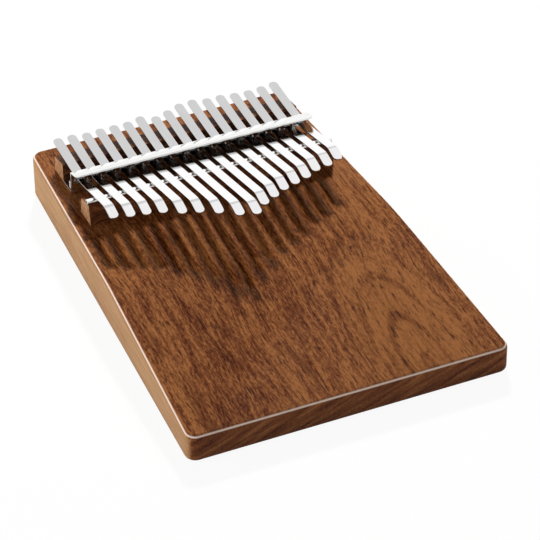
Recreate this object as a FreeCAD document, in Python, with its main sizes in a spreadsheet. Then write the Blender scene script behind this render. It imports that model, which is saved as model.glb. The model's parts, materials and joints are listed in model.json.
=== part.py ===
"""Seventeen-note mbira: a solid board, two bridges, a slotted pressure bracket and tuned steel tines.

Frame: +X to the player's right, +Y towards the tails of the tines, +Z up from the face that the
board rests on. The origin is under the middle of the board. Millimetres and degrees throughout.
"""
import FreeCAD, Part
import math
import os
import Sketcher

PARTS_FOLDER = "parts"

# ---------------------------------------------------------------- driving dimensions

SIZES = {
    # board: a solid slab, narrower at the tail end, its top falling away towards the thumbs
    "board_length": 204.0,
    "board_rear_width": 122.0,
    "board_front_width": 143.0,
    "board_thickness": 21.0,
    "board_front_thickness": 12.6,
    "board_level_length": 106.0,
    "board_crest_radius": 260.0,
    "board_corner_radius": 5.0,
    "board_edge_radius": 2.0,
    # rear bridge: hardwood block that the tails bear on
    "rear_bridge_setback": 17.7,
    "rear_bridge_length": 111.4,
    "rear_bridge_depth": 10.1,
    "rear_bridge_fall": 1.4,
    # front bridge: hardwood block that carries the saddle
    "front_bridge_length": 114.0,
    "front_bridge_foot_ahead": 3.2,
    "front_bridge_foot_depth": 11.4,
    "front_bridge_top_ahead": 1.7,
    "front_bridge_top_depth": 9.2,
    "front_bridge_drop": 3.2,
    "bridge_edge_radius": 0.4,
    # saddle: polished tube let into a groove of the front bridge
    "saddle_length": 114.6,
    "saddle_diameter": 2.7,
    "saddle_bore": 1.3,
    # pressure bracket: one bent sheet with a slot for each tine
    "bracket_length": 112.0,
    "sheet_thickness": 1.0,
    "base_flange_depth": 10.4,
    "web_height": 10.9,
    "top_flange_width": 8.2,
    "top_flange_angle": 19.0,
    "sheet_bend_radius": 0.5,
    "flange_corner_radius": 2.4,
    "slot_width": 5.0,
    "slot_depth": 4.4,
    # screws that hold the bracket down
    "screw_diameter": 3.0,
    "screw_length": 12.0,
    "screw_hole_clearance": 0.2,
    "screw_head_diameter": 5.6,
    "screw_head_height": 1.8,
    "screw_head_edge": 0.7,
    "screw_recess_width": 0.9,
    "screw_recess_span": 3.2,
    "screw_recess_depth": 1.0,
    "screw_spacing": 26.0,
    "screw_from_web": 5.4,
    # tines: strips of spring steel, bent under the bracket and again near the tip
    "tine_pitch": 6.5,
    "tine_width": 4.2,
    "tine_thickness": 1.0,
    "tail_angle": 5.5,
    "reed_angle": 12.0,
    "tip_drop_angle": 15.0,
    "tip_length": 7.6,
    "press_height": 9.0,
    "press_angle": 1.6,
    "press_behind": 7.7,
    "press_ahead": 5.8,
    "web_to_saddle": 22.0,
    "seat_clearance": 0.32,
    "slot_clearance": 0.45,
    "hinge_gap": 0.12,
}

TINE_COUNT = 17
SCREW_COUNT = 5

# each tine is cut to its own length, given to the nearest half millimetre, left to right:
# from the saddle to the tip, with the bass tine in the middle
REED_LENGTHS = (21.0, 24.0, 26.0, 28.5, 34.0, 37.5, 43.0, 50.0, 53.0,
                46.0, 41.5, 37.0, 34.0, 31.0, 26.5, 24.5, 20.5)
# from the bend behind the bracket to the tail's end
TAIL_LENGTHS = (19.5, 19.5, 18.5, 19.0, 19.0, 19.0, 20.5, 18.0, 20.0,
                22.5, 23.0, 21.5, 21.5, 20.5, 20.0, 20.5, 21.5)

# ---------------------------------------------------------------- derived places, as expressions

HALF_BOARD = "sizes.board_length / 2"
CREST_Y = f"({HALF_BOARD} - sizes.board_level_length)"
BOARD_TOP = "sizes.board_thickness"
REAR_BRIDGE_BACK = f"({HALF_BOARD} - sizes.rear_bridge_setback)"
REAR_BRIDGE_FRONT = f"({REAR_BRIDGE_BACK} - sizes.rear_bridge_depth)"
WEB_Y = f"({REAR_BRIDGE_FRONT} - sizes.base_flange_depth)"
WEB_FRONT = f"({WEB_Y} - sizes.sheet_thickness / 2)"
WEB_BACK = f"({WEB_Y} + sizes.sheet_thickness / 2)"
WEB_TOP = f"({BOARD_TOP} + sizes.web_height)"
PRESS_Z = f"({BOARD_TOP} + sizes.press_height)"
HALF_TINE = "sizes.tine_thickness / 2"
SADDLE_RADIUS = "sizes.saddle_diameter / 2"
# distance from a tine's centre line down to the saddle's axis, square to the reed
SADDLE_OFFSET = f"({HALF_TINE} + sizes.seat_clearance + {SADDLE_RADIUS})"
# the point of the reed's centre line straight above the saddle: the tine flexes here
HINGE_Y = f"({WEB_Y} - sizes.web_to_saddle)"
# the bracket presses a nearly flat length of each strip, between its tail bend and its neck bend
TAIL_BEND = (f"({WEB_Y} + sizes.press_behind)", f"({PRESS_Z} + sizes.press_behind * tan(sizes.press_angle))")
NECK_BEND = (f"({WEB_Y} - sizes.press_ahead)", f"({PRESS_Z} - sizes.press_ahead * tan(sizes.press_angle))")
HINGE_Z = f"({NECK_BEND[1]} + (sizes.web_to_saddle - sizes.press_ahead) * tan(sizes.reed_angle))"
SADDLE_Y = f"({HINGE_Y} - {SADDLE_OFFSET} * sin(sizes.reed_angle))"
SADDLE_Z = f"({HINGE_Z} - {SADDLE_OFFSET} * cos(sizes.reed_angle))"


def tail_line(y):
    """Height of a tail's centre line at y."""
    return f"({TAIL_BEND[1]} + ({y} - {TAIL_BEND[0]}) * tan(sizes.tail_angle))"


def reed_line(y):
    """Height of a reed's centre line at y."""
    return f"({NECK_BEND[1]} + ({NECK_BEND[0]} - {y}) * tan(sizes.reed_angle))"


# ---------------------------------------------------------------- document and helpers

doc = FreeCAD.newDocument("mbira")
sheet = doc.addObject("Spreadsheet::Sheet", "sizes")
for row, (alias, number) in enumerate(SIZES.items(), start=1):
    sheet.set(f"A{row}", alias)
    sheet.set(f"B{row}", str(number))
    sheet.setAlias(f"B{row}", alias)
for prefix, lengths in (("reed_length", REED_LENGTHS), ("tail_length", TAIL_LENGTHS)):
    for number, length in enumerate(lengths, start=1):
        row += 1
        sheet.set(f"A{row}", f"{prefix}_{number:02d}")
        sheet.set(f"B{row}", str(length))
        sheet.setAlias(f"B{row}", f"{prefix}_{number:02d}")
doc.recompute()

nodes = []


def value(expression):
    """Number that an expression on the sheet gives now."""
    return float(sheet.evalExpression(expression))


def bind(thing, **expressions):
    """Bind properties of an object to expressions; a double underscore stands for a dot."""
    for name, expression in expressions.items():
        thing.setExpression(name.replace("__", "."), expression)


def keep(thing, label):
    """Label a finished sub-part and keep it for writing."""
    thing.Label = label
    nodes.append(thing)
    return thing


def new_body(label):
    """PartDesign body, kept under its node's name."""
    return keep(doc.addObject("PartDesign::Body", label), label)


def origin_feature(body, role):
    """One of a body's own origin planes or axes."""
    return next(feature for feature in body.Origin.OriginFeatures if feature.Role == role)


def new_sketch(body, name, plane, lift=None):
    """Sketch on one of the body's origin planes, optionally lifted off it."""
    sketch = body.newObject("Sketcher::SketchObject", name)
    sketch.AttachmentSupport = [(origin_feature(body, plane), "")]
    sketch.MapMode = "FlatFace"
    if lift:
        bind(sketch, AttachmentOffset__Base__z=lift)
    return sketch


def pin_point(sketch, geometry, point, across, up):
    """Hold a sketch point at two bound distances from the sketch's origin."""
    for kind, expression in (("DistanceX", across), ("DistanceY", up)):
        index = sketch.addConstraint(Sketcher.Constraint(kind, -1, 1, geometry, point, value(expression)))
        sketch.setExpression(f"Constraints[{index}]", expression)


def arc_between(start, end, radius):
    """Arc that runs anticlockwise from start to end."""
    chord = end.sub(start)
    half = chord.Length / 2
    across = FreeCAD.Vector(-chord.y, chord.x, 0).normalize()
    centre = start.add(chord.multiply(0.5)).add(across.multiply(math.sqrt(radius ** 2 - half ** 2)))
    circle = Part.Circle(centre, FreeCAD.Vector(0, 0, 1), radius)
    return Part.ArcOfCircle(circle, circle.parameter(start), circle.parameter(end))


def draw_outline(sketch, corners, arcs=None):
    """Closed anticlockwise outline through corners, each a pair of expressions.

    arcs gives the radius of each side that is an arc, by the number of the corner it starts from.
    """
    arcs = arcs or {}
    spots = [FreeCAD.Vector(value(across), value(up), 0) for across, up in corners]
    sides = []
    for index, spot in enumerate(spots):
        following = spots[(index + 1) % len(spots)]
        if index in arcs:
            shape = arc_between(spot, following, value(arcs[index]))
        else:
            shape = Part.LineSegment(spot, following)
        sides.append(sketch.addGeometry(shape))
    for index, side in enumerate(sides):
        sketch.addConstraint(Sketcher.Constraint("Coincident", side, 2, sides[(index + 1) % len(sides)], 1))
        pin_point(sketch, side, 1, *corners[index])
        if index in arcs:
            hold_radius(sketch, side, arcs[index])


def hold_radius(sketch, round_side, radius):
    """Bind the radius of a circle or an arc."""
    index = sketch.addConstraint(Sketcher.Constraint("Radius", round_side, value(radius)))
    sketch.setExpression(f"Constraints[{index}]", radius)


def draw_circle(sketch, across, up, radius):
    """Circle whose centre and radius are expressions."""
    centre = FreeCAD.Vector(value(across), value(up), 0)
    circle = sketch.addGeometry(Part.Circle(centre, FreeCAD.Vector(0, 0, 1), value(radius)))
    pin_point(sketch, circle, 3, across, up)
    hold_radius(sketch, circle, radius)


def pad_across(body, name, sketch, length):
    """Pad a side profile equally to both sides of the middle plane."""
    pad = body.newObject("PartDesign::Pad", name)
    pad.Profile = sketch
    pad.SideType = "Symmetric"
    bind(pad, Length=length)
    doc.recompute()
    return pad


def pocket(body, name, sketch, length=None):
    """Pocket to a depth below the sketch, or through everything on both sides of it."""
    before = body.Shape.Volume
    cut = body.newObject("PartDesign::Pocket", name)
    cut.Profile = sketch
    if length:
        bind(cut, Length=length)
    else:
        cut.SideType = "Symmetric"
        cut.Type = "ThroughAll"
    doc.recompute()
    if cut.Shape.Volume >= before:
        raise RuntimeError(f"{name} cut nothing")
    return cut


def fillet(body, name, picked, radius):
    """Round the edges of the body's present shape that picked(edge) accepts."""
    base = body.Tip
    names = [f"Edge{index}" for index, edge in enumerate(base.Shape.Edges, start=1) if picked(edge)]
    if not names:
        raise RuntimeError(f"{name} found no edge")
    feature = body.newObject("PartDesign::Fillet", name)
    feature.Base = (base, names)
    bind(feature, Radius=radius)
    doc.recompute()
    return feature


def row_pattern(body, name, original, spacing, occurrences):
    """Repeat a feature along +X at a bound spacing."""
    pattern = body.newObject("PartDesign::LinearPattern", name)
    pattern.Originals = [original]
    pattern.Direction = (origin_feature(body, "X_Axis"), [""])
    pattern.Mode = "Spacing"
    bind(pattern, Offset=spacing)
    pattern.Occurrences = occurrences
    body.Tip = pattern
    doc.recompute()
    return pattern


def first_of_row(spacing, count):
    """Place of the leftmost of count things spaced about the middle."""
    return f"(0 - {spacing} * {(count - 1) / 2})"


def runs_across(edge):
    """True for a straight edge along X."""
    box = edge.BoundBox
    return box.XLength > 1 and box.YLength < 1e-4 and box.ZLength < 1e-4


def stands_up(edge):
    """True for a straight edge along Z."""
    box = edge.BoundBox
    return box.ZLength > 1e-3 and box.XLength < 1e-4 and box.YLength < 1e-4


# ---------------------------------------------------------------- board

FIRST_SCREW = first_of_row("sizes.screw_spacing", SCREW_COUNT)
SCREW_Y = f"({WEB_Y} + sizes.screw_from_web)"


def build_board():
    """Slab with a falling top, tapered sides, rounded corners and edges, and pilot holes."""
    body = new_body("board")
    front, back = f"(0 - {HALF_BOARD})", HALF_BOARD
    drop = "(sizes.board_thickness - sizes.board_front_thickness)"
    fall = f"atan({drop} / (sizes.board_length - sizes.board_level_length))"
    # the top turns from level to falling over an arc that touches both flats
    touch = f"(sizes.board_crest_radius * tan({fall} / 2))"
    side_view = new_sketch(body, "board_side_view", "YZ_Plane")
    crest_start = (f"{CREST_Y} + {touch}", BOARD_TOP)
    crest_end = (f"{CREST_Y} - {touch} * cos({fall})", f"{BOARD_TOP} - {touch} * sin({fall})")
    draw_outline(side_view, [(front, "0"), (back, "0"), (back, BOARD_TOP), crest_start, crest_end,
                             (front, "sizes.board_front_thickness")], arcs={3: "sizes.board_crest_radius"})
    pad_across(body, "board_slab", side_view, "sizes.board_front_width")

    plan = new_sketch(body, "board_plan", "XY_Plane")
    rear_half, front_half = "sizes.board_rear_width / 2", "sizes.board_front_width / 2"
    draw_outline(plan, [(f"0 - {front_half}", front), (front_half, front),
                        (rear_half, back), (f"0 - {rear_half}", back)])
    beyond = "sizes.board_length"
    draw_outline(plan, [(f"0 - {beyond}", f"0 - {beyond}"), (beyond, f"0 - {beyond}"),
                        (beyond, beyond), (f"0 - {beyond}", beyond)])
    pocket(body, "board_sides", plan)
    fillet(body, "board_corners", stands_up, "sizes.board_corner_radius")
    top = value(BOARD_TOP)
    fillet(body, "board_rounding", lambda edge: edge.BoundBox.ZMax < 1e-3 or is_board_rim(edge, top),
           "sizes.board_edge_radius")

    holes = new_sketch(body, "pilot_sketch", "XY_Plane", lift=BOARD_TOP)
    draw_circle(holes, FIRST_SCREW, SCREW_Y, "sizes.screw_diameter / 2")
    hole = pocket(body, "pilot_hole", holes, "sizes.screw_length - sizes.sheet_thickness")
    row_pattern(body, "pilot_holes", hole, "sizes.screw_spacing", SCREW_COUNT)


def is_board_rim(edge, top):
    """True for an edge of the board's top outline."""
    box = edge.BoundBox
    half_length = value(HALF_BOARD)
    lies_low = box.ZMin < value("sizes.board_front_thickness") - 1
    middle = edge.valueAt((edge.FirstParameter + edge.LastParameter) / 2)
    share = (half_length - middle.y) / (2 * half_length)
    rear, front = value("sizes.board_rear_width / 2"), value("sizes.board_front_width / 2")
    side = rear + (front - rear) * share
    corner = value("sizes.board_corner_radius")
    near_side = abs(middle.x) > side - corner
    near_end = abs(middle.y) > half_length - corner
    return not lies_low and not stands_up(edge) and (near_side or near_end) and middle.z <= top + 1e-3


# ---------------------------------------------------------------- bridges and saddle

def build_rear_bridge():
    """Block whose leading top edge stops just under the tails, and whose top falls away behind it."""
    body = new_body("rear_bridge")
    profile = new_sketch(body, "rear_bridge_profile", "YZ_Plane")
    gap = f"(({HALF_TINE} + sizes.seat_clearance) / cos(sizes.tail_angle))"
    crest = f"{tail_line(REAR_BRIDGE_FRONT)} - {gap}"
    draw_outline(profile, [(REAR_BRIDGE_FRONT, BOARD_TOP), (REAR_BRIDGE_BACK, BOARD_TOP),
                           (REAR_BRIDGE_BACK, f"{crest} - sizes.rear_bridge_fall"),
                           (REAR_BRIDGE_FRONT, crest)])
    pad_across(body, "rear_bridge_block", profile, "sizes.rear_bridge_length")
    floor = value(BOARD_TOP)
    fillet(body, "rear_bridge_edges", lambda edge: runs_across(edge) and edge.BoundBox.ZMin > floor + 1,
           "sizes.bridge_edge_radius")


def build_front_bridge():
    """Trapezoid block with a groove for the saddle along its leading top edge."""
    body = new_body("front_bridge")
    profile = new_sketch(body, "front_bridge_profile", "YZ_Plane")
    foot_front = f"({SADDLE_Y} - sizes.front_bridge_foot_ahead)"
    foot_back = f"({foot_front} + sizes.front_bridge_foot_depth)"
    top_front = f"({SADDLE_Y} - sizes.front_bridge_top_ahead)"
    top_back = f"({top_front} + sizes.front_bridge_top_depth)"
    drop = "(sizes.front_bridge_drop / cos(sizes.reed_angle))"
    draw_outline(profile, [(foot_front, BOARD_TOP), (foot_back, BOARD_TOP),
                           (top_back, f"{reed_line(top_back)} - {drop}"),
                           (top_front, f"{reed_line(top_front)} - {drop}")])
    pad_across(body, "front_bridge_block", profile, "sizes.front_bridge_length")
    floor = value(BOARD_TOP)
    fillet(body, "front_bridge_edges", lambda edge: runs_across(edge) and edge.BoundBox.ZMin > floor + 1,
           "sizes.bridge_edge_radius")
    groove = new_sketch(body, "saddle_groove_profile", "YZ_Plane")
    draw_circle(groove, SADDLE_Y, SADDLE_Z, SADDLE_RADIUS)
    pocket(body, "saddle_groove", groove)


def build_saddle():
    """Polished tube that the tines cross."""
    body = new_body("saddle_tube")
    ring = new_sketch(body, "saddle_ring", "YZ_Plane")
    draw_circle(ring, SADDLE_Y, SADDLE_Z, SADDLE_RADIUS)
    draw_circle(ring, SADDLE_Y, SADDLE_Z, "sizes.saddle_bore / 2")
    pad_across(body, "saddle_wall", ring, "sizes.saddle_length")


# ---------------------------------------------------------------- pressure bracket

def build_bracket():
    """Bent sheet: a base flange under the tails, a slotted web and a raised leading flange."""
    body = new_body("pressure_bracket")
    profile = new_sketch(body, "bracket_profile", "YZ_Plane")
    sheet_top = f"({BOARD_TOP} + sizes.sheet_thickness)"
    flange_back = f"({REAR_BRIDGE_FRONT})"
    half_turn = "((90 - sizes.top_flange_angle) / 2)"
    # the sheet's two faces meet the flange's along the mitre through the top bend
    mitre = f"(sizes.sheet_thickness / 2 * tan({half_turn}))"
    reach_y = "(sizes.top_flange_width * cos(sizes.top_flange_angle))"
    reach_z = "(sizes.top_flange_width * sin(sizes.top_flange_angle))"
    shift_y = "(sizes.sheet_thickness / 2 * sin(sizes.top_flange_angle))"
    shift_z = "(sizes.sheet_thickness / 2 * cos(sizes.top_flange_angle))"
    draw_outline(profile, [
        (WEB_FRONT, BOARD_TOP), (flange_back, BOARD_TOP), (flange_back, sheet_top),
        (WEB_BACK, sheet_top), (WEB_BACK, f"{WEB_TOP} + {mitre}"),
        (f"{WEB_Y} - {reach_y} + {shift_y}", f"{WEB_TOP} + {reach_z} + {shift_z}"),
        (f"{WEB_Y} - {reach_y} - {shift_y}", f"{WEB_TOP} + {reach_z} - {shift_z}"),
        (WEB_FRONT, f"{WEB_TOP} - {mitre}")])
    pad_across(body, "bracket_sheet", profile, "sizes.bracket_length")

    faces = {"front": value(WEB_FRONT), "back": value(WEB_BACK)}
    floor, fold = value(sheet_top), value(WEB_TOP)

    def is_inner(edge):
        box = edge.BoundBox
        behind_base = abs(box.YMin - faces["back"]) < 0.01 and abs(box.ZMin - floor) < 0.01
        under_top = abs(box.YMin - faces["front"]) < 0.01 and abs(box.ZMin - fold) < 1
        return runs_across(edge) and (behind_base or under_top)

    def is_outer(edge):
        box = edge.BoundBox
        below_web = abs(box.YMin - faces["front"]) < 0.01 and box.ZMin < floor - 0.5
        over_web = abs(box.YMin - faces["back"]) < 0.01 and box.ZMin > floor + 1
        return runs_across(edge) and (below_web or over_web)

    fillet(body, "bracket_inner_bends", is_inner, "sizes.sheet_bend_radius")
    fillet(body, "bracket_outer_bends", is_outer, "sizes.sheet_bend_radius + sizes.sheet_thickness")
    lip = value(f"{WEB_Y} - {reach_y}")
    fillet(body, "flange_corners",
           lambda edge: edge.BoundBox.XLength < 1e-4 and edge.BoundBox.YMax < lip + 0.5
           and abs(edge.Length - value("sizes.sheet_thickness")) < 0.01, "sizes.flange_corner_radius")

    window = new_sketch(body, "slot_window", "XZ_Plane")
    middle = first_of_row("sizes.tine_pitch", TINE_COUNT)
    slot_top = f"({PRESS_Z} + {HALF_TINE} + sizes.slot_clearance)"
    left, right = f"{middle} - sizes.slot_width / 2", f"{middle} + sizes.slot_width / 2"
    draw_outline(window, [(left, f"{slot_top} - sizes.slot_depth"), (right, f"{slot_top} - sizes.slot_depth"),
                          (right, slot_top), (left, slot_top)])
    slot = pocket(body, "tine_slot", window)
    row_pattern(body, "tine_slots", slot, "sizes.tine_pitch", TINE_COUNT)

    holes = new_sketch(body, "bracket_hole_sketch", "XY_Plane", lift=sheet_top)
    draw_circle(holes, FIRST_SCREW, SCREW_Y, "(sizes.screw_diameter + sizes.screw_hole_clearance) / 2")
    hole = pocket(body, "bracket_hole", holes, "sizes.sheet_thickness")
    row_pattern(body, "bracket_holes", hole, "sizes.screw_spacing", SCREW_COUNT)


def build_screws():
    """Pan-head wood screws through the base flange, as one group of separate solids."""
    seat = f"({BOARD_TOP} + sizes.sheet_thickness)"
    screws = []
    for number in range(SCREW_COUNT):
        across = f"{FIRST_SCREW} + sizes.screw_spacing * {number}"
        shank = doc.addObject("Part::Cylinder", f"screw_shank_{number + 1}")
        bind(shank, Radius="sizes.screw_diameter / 2", Height="sizes.screw_length", Placement__Base__x=across,
             Placement__Base__y=SCREW_Y, Placement__Base__z=f"{seat} - sizes.screw_length")
        head = doc.addObject("Part::Cylinder", f"screw_head_{number + 1}")
        bind(head, Radius="sizes.screw_head_diameter / 2", Height="sizes.screw_head_height",
             Placement__Base__x=across, Placement__Base__y=SCREW_Y, Placement__Base__z=seat)
        doc.recompute()
        pan = doc.addObject("Part::Fillet", f"screw_pan_{number + 1}")
        pan.Base = head
        crown = max(range(len(head.Shape.Edges)), key=lambda index: head.Shape.Edges[index].BoundBox.ZMin)
        edge_round = value("sizes.screw_head_edge")
        pan.Edges = [(crown + 1, edge_round, edge_round)]
        blank = doc.addObject("Part::Fuse", f"screw_blank_{number + 1}")
        blank.Base, blank.Tool = pan, shank
        screw = blank
        for turn, (span_x, span_y) in enumerate((("span", "width"), ("width", "span"))):
            bar = doc.addObject("Part::Box", f"screw_recess_{number + 1}_{turn + 1}")
            long_x, long_y = f"sizes.screw_recess_{span_x}", f"sizes.screw_recess_{span_y}"
            bind(bar, Length=long_x, Width=long_y, Height="sizes.screw_recess_depth",
                 Placement__Base__x=f"{across} - {long_x} / 2",
                 Placement__Base__y=f"{SCREW_Y} - {long_y} / 2",
                 Placement__Base__z=f"{seat} + sizes.screw_head_height - sizes.screw_recess_depth")
            cut = doc.addObject("Part::Cut", f"screw_cut_{number + 1}_{turn + 1}")
            cut.Base, cut.Tool = screw, bar
            screw = cut
        screws.append(screw)
    group = doc.addObject("Part::Compound", "bracket_screws")
    group.Links = screws
    keep(group, "bracket_screws")


# ---------------------------------------------------------------- tines

def lay_flat(thing, angle, start, along, across):
    """Place a strip's piece on the centre line from start, which climbs at angle towards +Y."""
    start_y, start_z = start
    thing.Placement.Rotation = FreeCAD.Rotation(FreeCAD.Vector(1, 0, 0), 1)
    bind(thing, Placement__Rotation__Angle=angle, Placement__Base__x=across,
         Placement__Base__y=f"{start_y} + {along} * cos({angle}) + {HALF_TINE} * sin({angle})",
         Placement__Base__z=f"{start_z} + {along} * sin({angle}) - {HALF_TINE} * cos({angle})")


def strip_leg(name, start, angle, length):
    """Flat length of tine from start."""
    leg = doc.addObject("Part::Box", name)
    bind(leg, Length="sizes.tine_width", Width=length, Height="sizes.tine_thickness")
    lay_flat(leg, angle, start, "0", "0 - sizes.tine_width / 2")
    return leg


def strip_end(name, start, angle, length):
    """Round end whose middle lies at length along the leg."""
    end = doc.addObject("Part::Cylinder", name)
    bind(end, Radius="sizes.tine_width / 2", Height="sizes.tine_thickness")
    lay_flat(end, angle, start, length, "0")
    return end


def strip_bend(name, place):
    """Round knuckle that joins two legs."""
    bend = doc.addObject("Part::Cylinder", name)
    place_y, place_z = place
    bend.Placement.Rotation = FreeCAD.Rotation(FreeCAD.Vector(0, 1, 0), 90)
    bind(bend, Radius=HALF_TINE, Height="sizes.tine_width", Placement__Base__x="0 - sizes.tine_width / 2",
         Placement__Base__y=place_y, Placement__Base__z=place_z)
    return bend


def build_tine(number):
    """Heel, held by the bridges and bracket, and reed, which the thumb plucks."""
    across = f"sizes.tine_pitch * ({number} - {(TINE_COUNT + 1) / 2})"
    forward = "(180 - sizes.reed_angle)"
    gap = "sizes.hinge_gap / 2"

    tail_run = f"(sizes.tail_length_{number:02d} - sizes.tine_width / 2)"
    pressed_run = "((sizes.press_behind + sizes.press_ahead) / cos(sizes.press_angle))"
    neck_run = f"((sizes.web_to_saddle - sizes.press_ahead) / cos(sizes.reed_angle) - {gap})"
    heel = doc.addObject("Part::MultiFuse", f"tine_{number:02d}_heel")
    heel.Shapes = [strip_leg(f"tail_{number}", TAIL_BEND, "sizes.tail_angle", tail_run),
                   strip_end(f"tail_end_{number}", TAIL_BEND, "sizes.tail_angle", tail_run),
                   strip_bend(f"tail_bend_{number}", TAIL_BEND),
                   strip_leg(f"pressed_{number}", NECK_BEND, "sizes.press_angle", pressed_run),
                   strip_bend(f"neck_bend_{number}", NECK_BEND),
                   strip_leg(f"neck_{number}", NECK_BEND, forward, neck_run)]

    root = (f"{HINGE_Y} - {gap} * cos(sizes.reed_angle)", f"{HINGE_Z} + {gap} * sin(sizes.reed_angle)")
    reed_run = f"(sizes.reed_length_{number:02d} - sizes.tip_length)"
    kink = (f"{HINGE_Y} - ({gap} + {reed_run}) * cos(sizes.reed_angle)",
            f"{HINGE_Z} + ({gap} + {reed_run}) * sin(sizes.reed_angle)")
    downward = "(180 + sizes.tip_drop_angle)"
    tip_run = "(sizes.tip_length - sizes.tine_width / 2)"
    reed = doc.addObject("Part::MultiFuse", f"tine_{number:02d}_reed")
    reed.Shapes = [strip_leg(f"reed_{number}", root, forward, reed_run),
                   strip_bend(f"tip_bend_{number}", kink),
                   strip_leg(f"tip_{number}", kink, downward, tip_run),
                   strip_end(f"tip_end_{number}", kink, downward, tip_run)]
    for piece in (heel, reed):
        piece.Refine = True
        bind(piece, Placement__Base__x=across)
        keep(piece, piece.Name)


# ---------------------------------------------------------------- build, check and write

build_board()
build_rear_bridge()
build_front_bridge()
build_saddle()
build_bracket()
build_screws()
for tine_number in range(1, TINE_COUNT + 1):
    build_tine(tine_number)
doc.recompute()

for item in doc.Objects:
    if "Invalid" in item.State or "Error" in item.State:
        raise RuntimeError(f"{item.Name} failed: {item.State}")
for node in nodes:
    if node.Shape.isNull() or not node.Shape.isValid():
        raise RuntimeError(f"{node.Label} has no valid shape")

os.makedirs(PARTS_FOLDER, exist_ok=True)
for node in nodes:
    node.Shape.exportStep(os.path.join(PARTS_FOLDER, f"{node.Label}.step"))
    print(f"{node.Label}: {len(node.Shape.Solids)} solid(s), {node.Shape.Volume:.1f} mm3")
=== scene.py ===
"""Dresses the mbira: walnut board, hardwood bridges, bright bracket and polished steel tines.

Metres throughout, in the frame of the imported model: +X runs across the tines, +Y towards their
tails and +Z up.
"""
from __future__ import annotations

import json
import logging
import math
from contextlib import contextmanager
from dataclasses import dataclass, field
from enum import Enum
from typing import Any, Callable, Iterator, Sequence

import bmesh
import bpy
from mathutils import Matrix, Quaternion, Vector

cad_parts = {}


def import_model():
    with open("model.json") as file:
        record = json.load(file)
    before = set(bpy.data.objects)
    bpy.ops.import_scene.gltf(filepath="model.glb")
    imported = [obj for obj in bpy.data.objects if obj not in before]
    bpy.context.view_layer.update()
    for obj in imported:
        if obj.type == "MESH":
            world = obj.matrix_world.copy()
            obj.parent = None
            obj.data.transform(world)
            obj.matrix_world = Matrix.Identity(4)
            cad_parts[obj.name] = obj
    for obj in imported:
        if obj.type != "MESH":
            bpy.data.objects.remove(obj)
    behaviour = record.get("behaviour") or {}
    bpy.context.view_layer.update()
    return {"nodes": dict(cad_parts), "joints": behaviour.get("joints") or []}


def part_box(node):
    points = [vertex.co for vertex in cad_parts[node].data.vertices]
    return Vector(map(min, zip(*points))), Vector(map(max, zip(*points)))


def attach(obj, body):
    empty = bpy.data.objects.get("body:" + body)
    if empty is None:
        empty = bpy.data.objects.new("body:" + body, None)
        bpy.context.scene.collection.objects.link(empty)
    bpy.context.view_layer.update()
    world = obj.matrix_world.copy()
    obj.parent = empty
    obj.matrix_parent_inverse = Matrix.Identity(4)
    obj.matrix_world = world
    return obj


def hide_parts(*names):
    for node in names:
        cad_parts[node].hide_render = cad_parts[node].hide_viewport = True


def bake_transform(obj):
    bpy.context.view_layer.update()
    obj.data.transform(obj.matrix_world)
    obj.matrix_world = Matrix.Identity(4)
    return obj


LOG = logging.getLogger("mbira")
MM = 0.001
NEAR = 1e-5
TOUCHING = 1e-6
SOFT_EDGE_ANGLE = math.radians(50)
SOFT_EDGE_SEGMENTS = 2
ROOT_BODY = "instrument"

Colour = tuple[float, float, float]
Point = tuple[float, float, float]
Modifier = tuple[str, dict[str, Any]]
WHITE: Colour = (1.0, 1.0, 1.0)


class Pick(Enum):
    """Kind of mesh element that a selection takes."""

    VERTEX = "VERT"
    EDGE = "EDGE"
    FACE = "FACE"


# ---------------------------------------------------------------- shader expressions


class Term:
    """Value that changes over a surface: a socket that can be added, multiplied and compared."""

    def __init__(self, shader: Shader, socket: bpy.types.NodeSocket) -> None:
        """Wrap a socket of a shader's node tree."""
        self.shader = shader
        self.socket = socket

    def __add__(self, other: Term | float) -> Term:
        """Sum."""
        return self.shader.maths("ADD", self, other)

    __radd__ = __add__

    def __sub__(self, other: Term | float) -> Term:
        """Difference."""
        return self.shader.maths("SUBTRACT", self, other)

    def __rsub__(self, other: float) -> Term:
        """Difference from a number."""
        return self.shader.maths("SUBTRACT", other, self)

    def __mul__(self, other: Term | float) -> Term:
        """Product."""
        return self.shader.maths("MULTIPLY", self, other)

    __rmul__ = __mul__

    def __pow__(self, other: float) -> Term:
        """Power."""
        return self.shader.maths("POWER", self, other)


@dataclass(frozen=True)
class Pattern:
    """One noise: its changes in a metre along each axis, and how rough it is."""

    rate: Point
    detail: float = 2.0
    roughness: float = 0.5
    distortion: float = 0.0


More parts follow.
